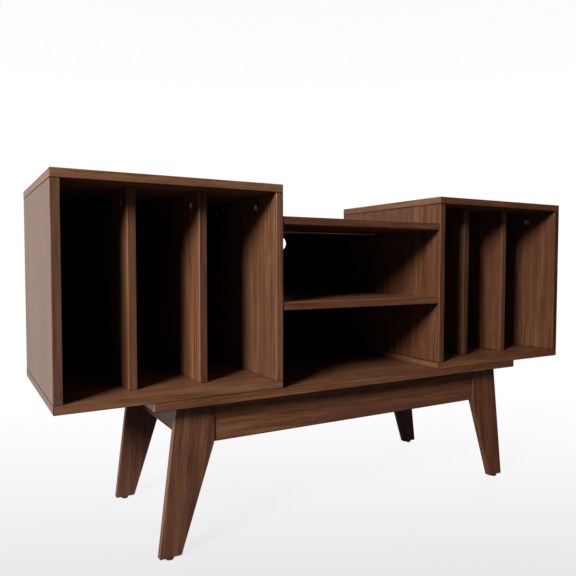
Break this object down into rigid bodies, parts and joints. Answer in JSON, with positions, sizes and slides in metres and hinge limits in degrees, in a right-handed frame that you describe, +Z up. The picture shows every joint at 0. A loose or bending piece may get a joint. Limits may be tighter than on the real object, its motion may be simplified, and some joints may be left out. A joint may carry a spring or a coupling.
{
  "type": "record cabinet",
  "caption": "Low open-front walnut cabinet on splayed plate legs: a record box with upright dividers at each end, a turntable shelf and a middle shelf between them.",
  "frame": {"origin": "on the floor, under the middle of the cabinet", "axes": "+X to the right along the open fronts, +Y from the fronts to the back panels, +Z up"},
  "size_m": [1.266, 0.386, 0.7],
  "materials": {
    "walnut": "satin walnut laminate, grain along each board",
    "black_board": "matt black faced hardboard",
    "zinc": "bright zinc die casting",
    "beech": "plain fluted beech",
    "strip_metal": "satin aluminium",
    "glide_plastic": "dark brown nail-on glide"
  },
  "bodies": {
    "root": {"base_board": "walnut", "left_box_bottom": "walnut", "left_box_top": "walnut", "left_box_outer_side": "walnut", "left_box_inner_side": "walnut", "left_box_divider_1": "walnut", "left_box_divider_2": "walnut", "left_box_back": "black_board", "right_box_bottom": "walnut", "right_box_top": "walnut", "right_box_outer_side": "walnut", "right_box_inner_side": "walnut", "right_box_divider_1": "walnut", "right_box_divider_2": "walnut", "right_box_back": "black_board", "turntable_shelf": "walnut", "middle_shelf": "walnut", "turntable_shelf_strip": "strip_metal", "centre_back": "black_board", "front_apron": "walnut", "rear_apron": "walnut", "left_apron": "walnut", "right_apron": "walnut", "front_left_leg": "walnut", "front_right_leg": "walnut", "rear_left_leg": "walnut", "rear_right_leg": "walnut", "front_left_glide": "glide_plastic", "front_right_glide": "glide_plastic", "rear_left_glide": "glide_plastic", "rear_right_glide": "glide_plastic", "left_outer_side_cam_lock_front": "zinc", "left_outer_side_cam_lock_rear": "zinc", "left_inner_side_cam_lock_front": "zinc", "left_inner_side_cam_lock_rear": "zinc", "left_divider_1_cam_lock_front": "zinc", "left_divider_1_cam_lock_rear": "zinc", "left_divider_2_cam_lock_front": "zinc", "left_divider_2_cam_lock_rear": "zinc", "right_outer_side_cam_lock_front": "zinc", "right_outer_side_cam_lock_rear": "zinc", "right_inner_side_cam_lock_front": "zinc", "right_inner_side_cam_lock_rear": "zinc", "right_divider_1_cam_lock_front": "zinc", "right_divider_1_cam_lock_rear": "zinc", "right_divider_2_cam_lock_front": "zinc", "right_divider_2_cam_lock_rear": "zinc", "turntable_shelf_dowel_left_front": "beech", "turntable_shelf_dowel_left_rear": "beech", "turntable_shelf_dowel_right_front": "beech", "turntable_shelf_dowel_right_rear": "beech", "middle_shelf_dowel_left_front": "beech", "middle_shelf_dowel_left_rear": "beech", "middle_shelf_dowel_right_front": "beech", "middle_shelf_dowel_right_rear": "beech", "front_left_leg_dowel": "beech", "front_right_leg_dowel": "beech", "rear_left_leg_dowel": "beech", "rear_right_leg_dowel": "beech"}
  },
  "joints": []
}
